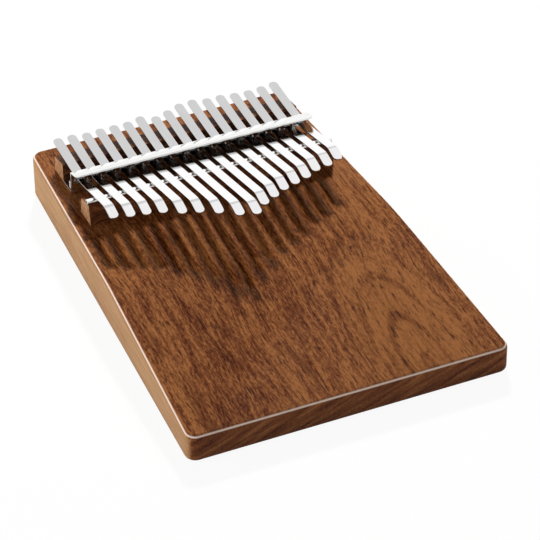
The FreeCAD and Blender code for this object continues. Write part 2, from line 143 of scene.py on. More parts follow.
class Shader:
    """Node tree of one material, built from expressions."""

    def __init__(self, name: str) -> None:
        """Start a material with a bare output node.

        Args:
            name: The material's name.
        """
        self.material = bpy.data.materials.new(name)
        self.material.use_nodes = True
        self.tree = self.material.node_tree
        self.tree.nodes.clear()
        self.output = self.node("ShaderNodeOutputMaterial")

    def node(self, kind: str, settings: dict[str, Any] | None = None,
             inputs: dict[str | int, Any] | None = None) -> bpy.types.Node:
        """Add a node.

        Args:
            kind: The node's type.
            settings: Properties, set first; "stops" gives a colour ramp's places and colours.
            inputs: Value, Term or socket for each input, by name or number.

        Returns:
            The new node.
        """
        made = self.tree.nodes.new(kind)
        for name, setting in (settings or {}).items():
            if name == "stops":
                self._set_stops(made.color_ramp, setting)
            else:
                setattr(made, name, setting)
        for name, given in (inputs or {}).items():
            self.feed(made.inputs[name], given)
        return made

    @staticmethod
    def _set_stops(ramp: bpy.types.ColorRamp, stops: Sequence[tuple[float, Colour]]) -> None:
        """Give a ramp its places and colours."""
        while len(ramp.elements) < len(stops):
            ramp.elements.new(1.0)
        for element, (place, colour) in zip(ramp.elements, stops):
            element.position = place
            element.color = (*colour, 1.0)

    def feed(self, socket: bpy.types.NodeSocket, given: Any) -> None:
        """Link a Term or a socket to an input, or set a number or colour on it.

        Args:
            socket: The input.
            given: Term, socket, number or colour.
        """
        if isinstance(given, Term):
            given = given.socket
        if isinstance(given, bpy.types.NodeSocket):
            self.tree.links.new(given, socket)
        elif isinstance(given, tuple) and socket.type == "RGBA":
            socket.default_value = (*given, 1.0)
        else:
            socket.default_value = given

    def maths(self, operation: str, *operands: Term | float) -> Term:
        """Add a Math node on up to three operands."""
        made = self.node("ShaderNodeMath", {"operation": operation}, dict(enumerate(operands)))
        return Term(self, made.outputs[0])

    def place(self) -> tuple[Term, Term, Term]:
        """Read the Object coordinates.

        Returns:
            X, Y and Z in metres, one Term each.
        """
        source = self.node("ShaderNodeTexCoord").outputs["Object"]
        split = self.node("ShaderNodeSeparateXYZ", inputs={0: source})
        return tuple(Term(self, split.outputs[axis]) for axis in range(3))

    def facing(self, axis: int) -> Term:
        """Measure how squarely the surface faces an axis.

        Args:
            axis: 0, 1 or 2, for X, Y or Z.

        Returns:
            0 to 1, the same either way along the axis.
        """
        source = self.node("ShaderNodeTexCoord").outputs["Normal"]
        split = self.node("ShaderNodeSeparateXYZ", inputs={0: source})
        return self.maths("ABSOLUTE", Term(self, split.outputs[axis]))

    def noise(self, pattern: Pattern, place: Sequence[Term | float],
              bends: dict[int, Term] | None = None) -> Term:
        """Add a noise.

        Args:
            pattern: How fine and how rough it is.
            place: The coordinates that it reads.
            bends: What is added to some of the scaled coordinates, by axis.

        Returns:
            The noise, 0 to 1.
        """
        spot = [at * rate for at, rate in zip(place, pattern.rate)]
        for axis, bend in (bends or {}).items():
            spot[axis] = spot[axis] + bend
        joined = self.node("ShaderNodeCombineXYZ", inputs=dict(enumerate(spot)))
        made = self.node("ShaderNodeTexNoise", inputs={
            "Vector": joined.outputs[0], "Scale": 1.0, "Detail": pattern.detail,
            "Roughness": pattern.roughness, "Distortion": pattern.distortion})
        return Term(self, made.outputs[0])

    def spread(self, term: Term, low: float, high: float,
               to_low: float = 0.0, to_high: float = 1.0) -> Term:
        """Take a smooth step of a Term from one range to another, held at both ends.

        Args:
            term: What is stepped.
            low: Where the step starts.
            high: Where it ends.
            to_low: Value up to the start.
            to_high: Value from the end on.

        Returns:
            The stepped value.
        """
        made = self.node("ShaderNodeMapRange", {"interpolation_type": "SMOOTHSTEP"}, {
            "Value": term, "From Min": low, "From Max": high, "To Min": to_low, "To Max": to_high})
        return Term(self, made.outputs[0])

    def ramp(self, factor: Term, places: Sequence[float],
             colours: Sequence[Colour]) -> bpy.types.NodeSocket:
        """Pick a colour along a ramp."""
        stops = list(zip(places, colours))
        return self.node("ShaderNodeValToRGB", {"stops": stops}, {0: factor}).outputs[0]

    def mix(self, factor: Term | float, first: Any, second: Any) -> bpy.types.NodeSocket:
        """Mix two colours."""
        inputs = {0: factor, 6: first, 7: second}
        return self.node("ShaderNodeMix", {"data_type": "RGBA"}, inputs).outputs[2]

    def bump(self, height: Term, distance: float, strength: float) -> bpy.types.NodeSocket:
        """Bend the normal by a height.

        Args:
            height: Height, 0 to 1.
            distance: What a height of 1 stands for, in metres.
            strength: Share of the bend that is used.

        Returns:
            The normal's socket.
        """
        made = self.node("ShaderNodeBump", inputs={
            "Strength": strength, "Distance": distance, "Height": height})
        return made.outputs[0]

    def surface(self, **sockets: Any) -> bpy.types.Material:
        """Finish with a Principled shader.

        Args:
            sockets: What each input gets; an underscore in a name stands for a space.

        Returns:
            The finished material.
        """
        names = {name.replace("_", " "): given for name, given in sockets.items()}
        made = self.node("ShaderNodeBsdfPrincipled", inputs=names)
        self.tree.links.new(made.outputs[0], self.output.inputs[0])
        return self.material


# ---------------------------------------------------------------- finishes


@dataclass(frozen=True)
class Walnut:
    """Dark figured walnut under clear gloss lacquer, its grain along Y."""

    dark: Colour = (0.058, 0.0115, 0.0026)
    middle: Colour = (0.166, 0.0510, 0.0150)
    light: Colour = (0.310, 0.1180, 0.0360)
    golden: Colour = (0.225, 0.0840, 0.0170)
    # Paler tones of the side faces: partly their grain, partly painted light from the left.
    side: Colour = (0.450, 0.2600, 0.1250)
    side_dark: Colour = (0.330, 0.1550, 0.0620)
    pore: Colour = (0.026, 0.0050, 0.0016)
    # Pale pink of the upper rounded edge: a painted highlight.
    edge: Colour = (0.950, 0.7400, 0.6200)
    sway: Pattern = Pattern((14, 7, 14), detail=3.0)
    drift: Pattern = Pattern((90, 34, 90), detail=3.0)
    clouds: Pattern = Pattern((30, 9, 30), detail=5.0, roughness=0.60, distortion=0.4)
    fibres: Pattern = Pattern((600, 15, 600), detail=5.0, roughness=0.68)
    flecks: Pattern = Pattern((1500, 380, 1500), detail=3.0, roughness=0.70)
    dashes: Pattern = Pattern((1250, 100, 1250))
    veins: Pattern = Pattern((170, 7, 170))
    layers: Pattern = Pattern((45, 420, 0), detail=3.0, roughness=0.55)
    dots: Pattern = Pattern((900, 900, 0))
    figure_x: float = 38 * MM
    figure_y: float = -98 * MM
    figure_squeeze: float = 0.29
    figure_sway: float = 16 * MM
    figure_drift: float = 4 * MM
    heart_core: float = 8 * MM
    heart_reach: float = 30 * MM
    ring_spacing: float = 7.5 * MM
    ring_sway: float = 3.0
    top_stops: Point = (0.31, 0.50, 0.68)
    side_stops: tuple[float, float] = (0.36, 0.60)
    end_stops: Point = (0.34, 0.50, 0.70)
    end_slant: tuple[float, float] = (0.93, 0.37)
    facing_end: tuple[float, float] = (0.60, 0.95)
    relief: float = 0.04 * MM
    roughness: float = 0.42
    coat: float = 0.14
    coat_roughness: float = 0.03

    def material(self) -> bpy.types.Material:
        """Build the material.

        Returns:
            Figured wood on top, straight strips at the sides, cut layers at the ends and a pale
            painted highlight along the upper rounded edge.
        """
        sh = Shader("walnut_lacquered")
        place = x, y, z = sh.place()
        sway = sh.noise(self.sway, place) - 0.5
        drift = sh.noise(self.drift, place) - 0.5
        radius = self._figure(x + sway * self.figure_sway + drift * self.figure_drift, y)
        rings = sh.maths("SINE", radius * (2 * math.pi / self.ring_spacing) + sway * self.ring_sway)
        heart = sh.spread(radius, self.heart_core, self.heart_reach, 1.0, 0.0)
        lines = sh.spread(rings, 0.55, 1.0) * (heart * 0.80 + 0.20)
        clouds = sh.noise(self.clouds, place)
        fibres = sh.noise(self.fibres, place, {0: sway * 11})
        flecks = sh.noise(self.flecks, place, {0: sway * 20})
        streaks = (fibres - 0.5) * (1.00 - heart * 0.40)
        speckle = (flecks - 0.5) * (0.90 - heart * 0.30)
        tone = clouds * 0.50 + streaks + speckle + heart * 0.03 - lines * 0.15 + 0.300
        wood = sh.ramp(tone, self.top_stops, (self.dark, self.middle, self.light))
        wood = sh.mix(heart * 0.25, wood, self.golden)
        dashes = sh.noise(self.dashes, place, {0: sway * 18})
        pores = sh.spread(dashes + lines * 0.06, 0.595, 0.68)
        wood = sh.mix(pores * 0.75, wood, self.pore)
        veins = sh.spread(sh.noise(self.veins, place, {0: sway * 5}), 0.64, 0.71)
        wood = sh.mix(veins * (fibres * 0.9 + 0.1), wood, self.dark)
        wood = sh.mix(sh.spread(sh.facing(1), *self.facing_end), wood, self._end_grain(sh, x, z))
        # Sides paler than the top: partly side grain, partly painted light.
        strip = sh.ramp(fibres * 0.6 + clouds * 0.4, self.side_stops, (self.side_dark, self.side))
        wood = sh.mix(sh.spread(sh.facing(0), *self.facing_end), wood, strip)
        # Painted highlight: a pale band along the board's upper rounded edge.
        wood = sh.mix(self._painted_edge_highlight(sh, z), wood, self.edge)
        relief = sh.bump(1 - pores * 0.7 - fibres * 0.2, self.relief, 0.30)
        return sh.surface(Base_Color=wood, Roughness=self.roughness + fibres * 0.16,
                          Specular_IOR_Level=0.0, Coat_Weight=self.coat,
                          Coat_Roughness=self.coat_roughness, Normal=relief)

    def _figure(self, x: Term, y: Term) -> Term:
        """Distance from the long axis of the figure's nested arches, in metres."""
        across, along = x - self.figure_x, (y - self.figure_y) * self.figure_squeeze
        return (across * across + along * along) ** 0.5

    def _end_grain(self, sh: Shader, x: Term, z: Term) -> bpy.types.NodeSocket:
        """Colour the ends, where the growth layers cross the face aslant.

        Args:
            sh: The shader.
            x: Place along X.
            z: Height.

        Returns:
            The colour.
        """
        level, climb = self.end_slant
        along, across = x * level + z * climb, z * level - x * climb
        layers = sh.noise(self.layers, (along, across, 0.0))
        dots = sh.noise(self.dots, (x, z, 0.0))
        return sh.ramp(layers * 0.75 + dots * 0.25, self.end_stops,
                       (self.dark, self.middle, self.light))

    @staticmethod
    def _painted_edge_highlight(sh: Shader, z: Term) -> Term:
        """Find the upper edge's rounding, where a pale band is painted on as a highlight.

        Args:
            sh: The shader.
            z: Height.

        Returns:
            How far a point is on the rounding, 0 to 1.
        """
        upright = sh.facing(2)
        band = sh.spread(upright, 0.50, 0.66) * sh.spread(upright, 0.74, 0.90, 1.0, 0.0)
        return band * sh.spread(z, 4 * MM, 7 * MM) * 0.95


@dataclass(frozen=True)
class BridgeWood:
    """Reddish-brown hardwood with its grain along X and paler end grain."""

    dark: Colour = (0.034, 0.0080, 0.0025)
    middle: Colour = (0.135, 0.0400, 0.0130)
    light: Colour = (0.330, 0.1350, 0.0500)
    end: Colour = (0.460, 0.2500, 0.1250)
    end_dark: Colour = (0.260, 0.1150, 0.0500)

    sway: Pattern = Pattern((42, 90, 90))
    fibres: Pattern = Pattern((130, 700, 700), detail=3.0, roughness=0.62)
    clouds: Pattern = Pattern((50, 200, 200), detail=3.0)
    dots: Pattern = Pattern((60, 900, 900))
    grain_stops: Point = (0.36, 0.50, 0.63)
    end_stops: tuple[float, float] = (0.36, 0.60)
    facing_end: tuple[float, float] = (0.5, 0.9)
    relief: float = 0.04 * MM
    roughness: float = 0.42

    def material(self) -> bpy.types.Material:
        """Build the material.

        Returns:
            Long grain on four faces and cut grain on the two that face along X.
        """
        sh = Shader("bridge_hardwood")
        place = sh.place()
        sway = sh.noise(self.sway, place) - 0.5
        fibres = sh.noise(self.fibres, place, {1: sway * 12, 2: sway * 9})
        clouds = sh.noise(self.clouds, place, {2: sway * 4})
        grain = sh.ramp(clouds * 0.45 + fibres * 0.55, self.grain_stops,
                        (self.dark, self.middle, self.light))
        cut_end = sh.ramp(sh.noise(self.dots, place), self.end_stops, (self.end_dark, self.end))
        wood = sh.mix(sh.spread(sh.facing(0), *self.facing_end), grain, cut_end)
        return sh.surface(Base_Color=wood, Roughness=self.roughness + fibres * 0.15,
                          Specular_IOR_Level=0.12, Normal=sh.bump(fibres, self.relief, 0.4))


@dataclass(frozen=True)
class BrushedSteel:
    """Bright steel with fine lines along Y in its colour, and faint smudges."""

    name: str = "spring_steel_polished"
    dark: Colour = (0.57, 0.565, 0.565)
    light: Colour = (0.70, 0.695, 0.70)
    roughness: float = 0.06
    grain: float = 0.05
    lines: Pattern = Pattern((2600, 60, 900), roughness=0.6)
    smudge: Pattern = Pattern((160, 70, 160))
    relief: float = 0.01 * MM

    def material(self) -> bpy.types.Material:
        """Build the material.

        Returns:
            Bright metal that is a little rougher along its lines.
        """
        sh = Shader(self.name)
        place = sh.place()
        lines, smudge = sh.noise(self.lines, place), sh.noise(self.smudge, place)
        colour = sh.mix(lines * 0.6 + smudge * 0.4, self.dark, self.light)
        return sh.surface(Base_Color=colour, Metallic=1.0,
                          Roughness=self.roughness + lines * self.grain,
                          Normal=sh.bump(smudge, self.relief, 0.1))


@dataclass(frozen=True)
class Plating:
    """Bright plating with faint wear and smudges."""

    name: str
    colour: Colour = (0.80, 0.80, 0.785)
    dull: Colour = (0.72, 0.715, 0.70)
    roughness: float = 0.025
    wear: Pattern = Pattern((220, 220, 220), detail=4.0)

    def material(self) -> bpy.types.Material:
        """Build the material.

        Returns:
            Metal, duller and rougher where it is worn.
        """
        sh = Shader(self.name)
        wear = sh.spread(sh.noise(self.wear, sh.place()), 0.56, 0.75)
        colour = sh.mix(wear * 0.6, self.colour, self.dull)
        return sh.surface(Base_Color=colour, Metallic=1.0, Roughness=self.roughness + wear * 0.06)


# ---------------------------------------------------------------- workbench


class Workpiece:
    """A mesh on the bench, shaped by edit-mode operators."""

    def __init__(self, name: str) -> None:
        """Take the primitive that was just added.

        Args:
            name: The piece's name.
        """
        self.obj = bpy.context.active_object
        self.obj.name = name
        self.obj.data.name = name
        bpy.ops.object.transform_apply(location=True, rotation=True, scale=True)

    @classmethod
    def block(cls, name: str, low: Vector, high: Vector) -> Workpiece:
        """Add a block.

        Args:
            name: The piece's name.
            low: Its lowest corner.
            high: Its highest corner.

        Returns:
            The block.
        """
        bpy.ops.object.select_all(action="DESELECT")
        bpy.ops.mesh.primitive_cube_add(size=1.0, location=(low + high) / 2, scale=high - low)
        return cls(name)

    @classmethod
    def strip(cls, name: str, width: float, first: Point, second: Point) -> Workpiece:
        """Add a flat strip.

        Args:
            name: The piece's name.
            width: Its width along X.
            first: Where its middle line starts.
            second: Where its middle line ends.

        Returns:
            The strip, with no thickness.
        """
        bpy.ops.object.select_all(action="DESELECT")
        start, end = Vector(first), Vector(second)
        turn = math.atan2(end.z - start.z, end.y - start.y)
        bpy.ops.mesh.primitive_plane_add(size=1.0, location=(start + end) / 2,
                                         rotation=(turn, 0, 0))
        bpy.context.active_object.scale = (width, (end - start).length, 1.0)
        return cls(name)

    @contextmanager
    def editing(self) -> Iterator[None]:
        """Edit mode for as long as the block runs."""
        bpy.context.view_layer.objects.active = self.obj
        bpy.ops.object.mode_set(mode="EDIT")
        try:
            yield
        finally:
            bpy.ops.object.mode_set(mode="OBJECT")

    def pick(self, kind: Pick, test: Callable[[Any], bool]) -> int:
        """Select the elements that a test accepts, and only those.

        Args:
            kind: Vertices, edges or faces.
            test: Takes one element and says whether it is selected.

        Returns:
            How many were selected.
        """
        bpy.ops.mesh.select_mode(type=kind.value)
        bpy.ops.mesh.select_all(action="DESELECT")
        mesh = bmesh.from_edit_mesh(self.obj.data)
        rows = {Pick.VERTEX: mesh.verts, Pick.EDGE: mesh.edges, Pick.FACE: mesh.faces}[kind]
        chosen = [element for element in rows if test(element)]
        for element in chosen:
            element.select_set(True)
        mesh.select_flush_mode()
        bmesh.update_edit_mesh(self.obj.data)
        return len(chosen)

    def cut(self, point: Point, normal: Point) -> None:
        """Cut the whole mesh along a plane, keeping both sides.

        Args:
            point: A point of the plane.
            normal: The plane's normal.
        """
        bpy.ops.mesh.select_mode(type="FACE")
        bpy.ops.mesh.select_all(action="SELECT")
        bpy.ops.mesh.bisect(plane_co=point, plane_no=normal, threshold=TOUCHING)

    def finish(self, *modifiers: Modifier, smooth: float = 35.0) -> bpy.types.Object:
        """Apply modifiers, then shade smooth up to an angle, with flat faces kept flat.

        Args:
            modifiers: Type and settings of each, in order.
            smooth: Largest angle, in degrees, that is shaded smooth.

        Returns:
            The finished object.
        """
        bpy.ops.object.select_all(action="DESELECT")
        self.obj.select_set(True)
        bpy.context.view_layer.objects.active = self.obj
        for kind, settings in modifiers:
            self._apply(kind, settings)
        bpy.ops.object.shade_smooth_by_angle(angle=math.radians(smooth))
        self._apply("WEIGHTED_NORMAL", {"mode": "FACE_AREA", "weight": 100, "keep_sharp": True})
        return self.obj

    def _apply(self, kind: str, settings: dict[str, Any]) -> None:
        """Add one modifier and apply it.

        Args:
            kind: The modifier's type.
            settings: Its settings.
        """
        modifier = self.obj.modifiers.new(kind.lower(), kind)
        for name, setting in settings.items():
            setattr(modifier, name, setting)
        bpy.ops.object.modifier_apply(modifier=modifier.name)


def thickened(thickness: float) -> Modifier:
    """Modifier that gives a sheet its thickness, half to each side."""
    return "SOLIDIFY", {"thickness": thickness, "offset": 0.0, "use_even_offset": True}


def softened(width: float) -> Modifier:
    """Modifier that rounds the sharp edges by a width."""
    return "BEVEL", {"width": width, "segments": SOFT_EDGE_SEGMENTS, "limit_method": "ANGLE",
                     "angle_limit": SOFT_EDGE_ANGLE}


def dress(obj: bpy.types.Object, material: bpy.types.Material) -> None:
    """Give an object one material."""
    obj.data.materials.clear()
    obj.data.materials.append(material)


def rounded(points: Sequence[tuple[float, float]], radii: Sequence[float],
            steps: int = 6) -> list[Vector]:
    """Draw a line through points in the YZ plane with its inner corners rounded.

    Args:
        points: Y and Z of each corner.
        radii: Radius at each inner corner.
        steps: Pieces that each arc is drawn in.

    Returns:
        The line's points, at X 0.
    """
    spots = [Vector((0.0, y, z)) for y, z in points]
    line = [spots[0]]
    for before, corner, after, radius in zip(spots, spots[1:], spots[2:], radii):
        into, out = (corner - before).normalized(), (after - corner).normalized()
        turn = into.angle(out)
        reach = radius * math.tan(turn / 2)
        centre = corner - into * reach + (out - into * math.cos(turn)).normalized() * radius
        axis = into.cross(out).normalized()
        arm = corner - into * reach - centre
        line += [centre + Quaternion(axis, turn * step / steps) @ arm for step in range(steps + 1)]
    return line + [spots[-1]]


def bend_strip(name: str, width: float, across: float, line: Sequence[Vector]) -> Workpiece:
    """Draw a strip along a line by extruding its leading edge from point to point.

    Args:
        name: The strip's name.
        width: Its width along X.
        across: X of its middle.
        line: The points that its middle line goes through, in a plane of constant X.

    Returns:
        The strip as a sheet with no thickness.

    Raises:
        RuntimeError: If its leading edge isn't exactly one edge.
    """
    shift = Vector((across, 0.0, 0.0))
    first, second = line[0] + shift, line[1] + shift
    piece = Workpiece.strip(name, width, tuple(first), tuple(second))
    middle, ahead = (first + second) / 2, second - first
    with piece.editing():
        leading = piece.pick(
            Pick.EDGE, lambda edge: all((v.co - middle).dot(ahead) > 0 for v in edge.verts))
        if leading != 1:
            raise RuntimeError(f"{name}: {leading} leading edges")
        for before, after in zip(line[1:], line[2:]):
            step = tuple(after - before)
            bpy.ops.mesh.extrude_region_move(TRANSFORM_OT_translate={"value": step})
    return piece


# ---------------------------------------------------------------- sub-assemblies


@dataclass
class Board:
    """Slab with a falling top, tapered sides and rounded corners and edges."""

    front_width: float = 143 * MM
    rear_width: float = 122 * MM
    front_thickness: float = 12.6 * MM
    level_length: float = 106 * MM
    crest_radius: float = 260 * MM
    corner_radius: float = 5 * MM
    edge_radius: float = 2 * MM
    crest_cuts: int = 9
    corner_segments: int = 8
    edge_segments: int = 5
    smooth: float = 30.0
    side_level: float = 0.5
    top_level: float = 0.9

    def __post_init__(self) -> None:
        """Read the slab's place from the frame."""
        low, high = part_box("board")
        self.front, self.back, self.top = low.y, high.y, high.z
        self.crest = self.back - self.level_length
        self.fall = math.atan2(self.top - self.front_thickness, self.crest - self.front)
        self.touch = self.crest_radius * math.tan(self.fall / 2)

    def height(self, y: float) -> float:
        """Work out the height of the top.

        Args:
            y: Place along Y.

        Returns:
            The height: level at the back, then an arc, then a straight fall.
        """
        past = self.crest + self.touch - y
        if past <= 0:
            return self.top
        if past < self.touch * (1 + math.cos(self.fall)):
            return self.top - self.crest_radius + math.sqrt(self.crest_radius ** 2 - past ** 2)
        return self.top - (self.crest - y) * math.tan(self.fall)

    def width(self, y: float) -> float:
        """Width at y."""
        share = (self.back - y) / (self.back - self.front)
        return self.rear_width + (self.front_width - self.rear_width) * share

    def stations(self) -> list[float]:
        """Work out where the slab is cut for the crest's arc.

        Returns:
            Places along Y, from one end of the arc to the other.
        """
        first = self.crest + self.touch
        last = self.crest - self.touch * math.cos(self.fall)
        gaps = self.crest_cuts - 1
        return [first + (last - first) * step / gaps for step in range(self.crest_cuts)]

    def build(self, material: bpy.types.Material) -> bpy.types.Object:
        """Model the board and put it in place of its solid.

        Args:
            material: The board's finish.

        Returns:
            The board.
        """
        half = self.front_width / 2
        piece = Workpiece.block("board_shaped", Vector((-half, self.front, 0)),
                                Vector((half, self.back, self.top)))
        with piece.editing():
            for y in self.stations():
                piece.cut((0, y, 0), (0, 1, 0))
            for y in [self.front, *self.stations(), self.back]:
                piece.pick(Pick.VERTEX,
                           lambda v: abs(v.co.y - y) < NEAR and v.co.z > self.top - NEAR)
                bpy.ops.transform.translate(value=(0, 0, self.height(y) - self.top))
                piece.pick(Pick.VERTEX, lambda v: abs(v.co.y - y) < NEAR)
                bpy.ops.transform.resize(value=(self.width(y) / self.front_width, 1, 1),
                                         center_override=(0, y, 0))
            piece.pick(Pick.EDGE, self._stands_at_end)
            bpy.ops.mesh.bevel(offset=self.corner_radius, segments=self.corner_segments,
                               affect="EDGES")
            piece.pick(Pick.EDGE, self._is_rim)
            bpy.ops.mesh.bevel(offset=self.edge_radius, segments=self.edge_segments,
                               affect="EDGES")
        obj = piece.finish(smooth=self.smooth)
        dress(obj, material)
        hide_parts("board")
        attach(obj, ROOT_BODY)
        return obj

    def _stands_at_end(self, edge: Any) -> bool:
        """Tell an upright edge at one of the four corners.

        Args:
            edge: Any edge of the slab.

        Returns:
            Whether it is one.
        """
        first, second = (v.co for v in edge.verts)
        at_end = min(abs(first.y - self.front), abs(first.y - self.back)) < NEAR
        upright = max(abs(first.x - second.x), abs(first.y - second.y)) < TOUCHING
        return at_end and upright

    def _is_rim(self, edge: Any) -> bool:
        """Tell an edge between a side and the top or the underside, by its faces' slopes."""
        level = sorted(abs(face.normal.z) for face in edge.link_faces)
        return len(level) == 2 and level[0] < self.side_level and level[1] > self.top_level


@dataclass
class PressureBracket:
    """Bent sheet with a base flange, a slotted web and a raised leading flange."""

    sheet: float = 1 * MM
    base_depth: float = 10.4 * MM
    web_height: float = 10.9 * MM
    flange_width: float = 8.2 * MM
    flange_angle: float = math.radians(19)
    bend_radius: float = 1 * MM
    corner_radius: float = 2.4 * MM
    slot_width: float = 5 * MM
    slot_depth: float = 4.4 * MM
    slot_over_tine: float = 0.95 * MM
    corner_segments: int = 6
    soft_edge: float = 0.15 * MM

    def build(self, rows: Sequence[Tine], material: bpy.types.Material) -> bpy.types.Object:
        """Model the bracket round the tines and put it in place of its solid.

        Args:
            rows: The tines that go through its slots.
            material: The bracket's finish.

        Returns:
            The bracket.
        """
        low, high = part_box("pressure_bracket")
        middle = self.sheet / 2
        web, foot, fold = high.y - self.base_depth, low.z + middle, low.z + self.web_height
        tip = (web - self.flange_width * math.cos(self.flange_angle),
               fold + self.flange_width * math.sin(self.flange_angle))
        line = rounded([(high.y, foot), (web, foot), (web, fold), tip], [self.bend_radius] * 2)
        piece = bend_strip("pressure_bracket_bent", high.x - low.x, (low.x + high.x) / 2, line)
        slot_top = rows[0].pressed.z + self.slot_over_tine
        slot_bottom = slot_top - self.slot_depth
        half = self.slot_width / 2

        def in_slot(face: Any) -> bool:
            """Tell a face of the web that a slot takes away."""
            spot = face.calc_center_median()
            return slot_bottom < spot.z < slot_top and any(
                abs(spot.x - row.hinge.x) < half - NEAR for row in rows)

        with piece.editing():
            piece.pick(Pick.VERTEX, lambda v: abs(v.co.y - tip[0]) < NEAR)
            bpy.ops.mesh.bevel(offset=self.corner_radius, segments=self.corner_segments,
                               affect="VERTICES")
            for height in (slot_bottom, slot_top):
                piece.cut((0, 0, height), (0, 0, 1))
            for row in rows:
                for side in (-half, half):
                    piece.cut((row.hinge.x + side, 0, 0), (1, 0, 0))
            piece.pick(Pick.FACE, in_slot)
            bpy.ops.mesh.delete(type="FACE")
        obj = piece.finish(thickened(self.sheet), softened(self.soft_edge))
        dress(obj, material)
        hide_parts("pressure_bracket")
        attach(obj, ROOT_BODY)
        return obj


@dataclass
class Tine:
    """One bent strip of spring steel, from its tail's end to its tip."""

    number: int
    hinge: Vector
    width: float = 4.2 * MM
    thickness: float = 1 * MM
    tail_angle: float = math.radians(5.5)
    press_angle: float = math.radians(1.6)
    reed_angle: float = math.radians(12)
    drop_angle: float = math.radians(15)
    tip_length: float = 7.6 * MM
    hinge_to_neck: float = 16.2 * MM
    neck_to_web: float = 5.8 * MM
    web_to_tail: float = 7.7 * MM
    tail_radius: float = 140 * MM
    neck_radius: float = 70 * MM
    tip_radius: float = 9 * MM
    stiff_run: float = 2 * MM
    flex_share: float = 0.35
    flex_cuts: int = 8
    end_roundness: float = 0.46
    end_segments: int = 8
    soft_edge: float = 0.2 * MM
    neck: Vector = field(init=False)
    pressed: Vector = field(init=False)
    tail: Vector = field(init=False)

    def __post_init__(self) -> None:
        """Work out where the strip bends and where the bracket presses it."""
        self.neck = self.hinge + self.along(-self.reed_angle, self.hinge_to_neck)
        self.pressed = self.neck + self.along(self.press_angle, self.neck_to_web)
        self.tail = self.pressed + self.along(self.press_angle, self.web_to_tail)

    @staticmethod
    def along(angle: float, run: float) -> Vector:
        """Step of a level run towards the tail on a line that climbs at an angle."""
        return Vector((0.0, run, run * math.tan(angle)))

    @property
    def name(self) -> str:
        """Name that the tine's nodes and bodies share."""
        return f"tine_{self.number:02d}"

    def line(self) -> list[Vector]:
        """Draw the middle line of the strip.

        Returns:
            Its points at X 0, from the tail's end to the tip, closest where the strip flexes.
        """
        half = self.thickness / 2
        tail_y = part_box(f"{self.name}_heel")[1].y - half * math.sin(self.tail_angle)
        tip_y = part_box(f"{self.name}_reed")[0].y + half * math.sin(self.drop_angle)
        kink_y = tip_y + self.tip_length * math.cos(self.drop_angle)
        kink_z = self.hinge.z + (self.hinge.y - kink_y) * math.tan(self.reed_angle)
        tail_z = self.tail.z + (tail_y - self.tail.y) * math.tan(self.tail_angle)
        tip_z = kink_z - self.tip_length * math.sin(self.drop_angle)
        line = rounded([(tail_y, tail_z), tuple(self.tail.yz), tuple(self.neck.yz),
                        (kink_y, kink_z), (tip_y, tip_z)],
                       [self.tail_radius, self.neck_radius, self.tip_radius])
        start, end = self.flexing(tip_y)
        flexing = [start.lerp(end, cut / self.flex_cuts) for cut in range(self.flex_cuts + 1)]
        line += [Vector((0.0, spot.y, spot.z)) for spot in flexing]
        return sorted(line, key=lambda spot: -spot.y)

    def flexing(self, tip_y: float) -> tuple[Vector, Vector]:
        """Work out where the strip bends when it is plucked, just past the saddle.

        Args:
            tip_y: Where the strip's line ends along Y.

        Returns:
            The start and the end of the bend, at X of the tine.
        """
        reach = (self.hinge.y - tip_y) * self.flex_share
        return (self.hinge + self.along(-self.reed_angle, -self.stiff_run),
                self.hinge + self.along(-self.reed_angle, -reach))

    def build(self, material: bpy.types.Material) -> bpy.types.Object:
        """Model the strip in place of its heel and reed.

        Args:
            material: The strip's finish.

        Returns:
            The strip.
        """
        line = self.line()
        piece = bend_strip(self.name, self.width, self.hinge.x, line)
        ends = (line[0].y, line[-1].y)
        with piece.editing():
            piece.pick(Pick.VERTEX, lambda v: min(abs(v.co.y - end) for end in ends) < TOUCHING)
            bpy.ops.mesh.bevel(offset=self.width * self.end_roundness,
                               segments=self.end_segments, affect="VERTICES")
        obj = piece.finish(thickened(self.thickness), softened(self.soft_edge))
        dress(obj, material)
        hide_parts(f"{self.name}_heel", f"{self.name}_reed")
        start, end = self.flexing(line[-1].y)
        tuple(start)
        tuple(end)
        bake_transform(obj)
        return obj


@dataclass
class Saddle:
    """Bright tube that the tines cross, with a bore sunk into each end."""

    bore: float = 1.3 * MM
    mouth: float = 9 * MM
    segments: int = 40
    soft_edge: float = 0.12 * MM
    hollow_share: float = 0.52

    def build(self, material: bpy.types.Material, painted_bore_shade: bpy.types.Material) -> bpy.types.Object:
        """Model the tube and put it in place of its solid.

        Args:
            material: The tube's finish.
            painted_bore_shade: Dark metal inside its bore, painted shade in the recess.

        Returns:
            The tube.
        """
        low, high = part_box("saddle_tube")
        radius = (high.z - low.z) / 2
        centre = (low + high) / 2
        bpy.ops.object.select_all(action="DESELECT")
        bpy.ops.mesh.primitive_cylinder_add(
            vertices=self.segments, radius=radius, depth=high.x - low.x, location=centre,
            rotation=(0, math.pi / 2, 0))
        piece = Workpiece("saddle_tube_polished")
        with piece.editing():
            for end, inward in ((low.x, 1), (high.x, -1)):
                piece.pick(Pick.FACE, lambda f: abs(f.calc_center_median().x - end) < TOUCHING)
                bpy.ops.mesh.inset(thickness=radius - self.bore / 2)
                bpy.ops.mesh.extrude_region_move(
                    TRANSFORM_OT_translate={"value": (self.mouth * inward, 0, 0)})
        obj = piece.finish(softened(self.soft_edge))
        dress(obj, material)
        obj.data.materials.append(painted_bore_shade)
        # Faces deep in the bore take the dark metal: painted shade.
        for face in obj.data.polygons:
            if (face.center - centre).yz.length < self.bore * self.hollow_share:
                face.material_index = 1
        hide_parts("saddle_tube")
        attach(obj, ROOT_BODY)
        return obj


# ---------------------------------------------------------------- studio


